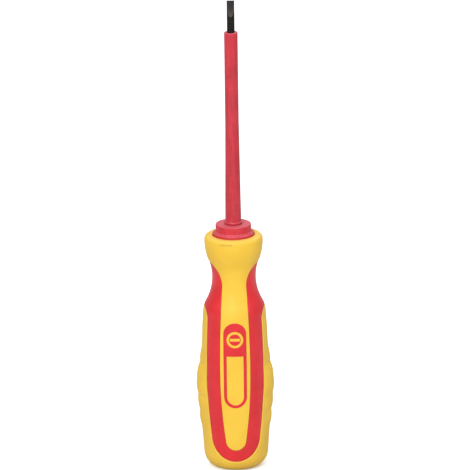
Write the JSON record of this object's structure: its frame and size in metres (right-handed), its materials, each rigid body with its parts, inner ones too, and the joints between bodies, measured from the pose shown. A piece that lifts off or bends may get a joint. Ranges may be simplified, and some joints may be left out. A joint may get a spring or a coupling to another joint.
{
  "type": "insulated screwdriver",
  "caption": "Small insulated slotted screwdriver: slim sleeved blade in a waisted two-colour grip with a bell nose, soft band and scalloped side pads.",
  "frame": {"origin": "centre of the butt's flat end, which the tool stands on", "axes": "+Z along the blade towards the tip, +X across the two side pads, -Y out of the front badge"},
  "size_m": [0.025, 0.0216, 0.1562],
  "materials": {
    "blade_steel": "burnished black, bright-ground tip",
    "sleeve_red": "satin moulded polyamide",
    "collar_red": "matt moulded",
    "core_red": "hard polypropylene",
    "shell_yellow": "satin moulded",
    "band_red": "soft satin elastomer",
    "pad_yellow": "satin moulded",
    "badge_red": "satin moulded inlay"
  },
  "bodies": {
    "root": {"blade": "blade_steel", "blade_sleeve": "sleeve_red", "nose_collar": "collar_red", "handle_core": "core_red", "front_shell": "shell_yellow", "grip_band": "band_red", "butt_shell": "pad_yellow", "front_ring": "badge_red", "front_sign": "badge_red", "rear_ring": "badge_red", "rear_sign": "badge_red"}
  },
  "joints": []
}
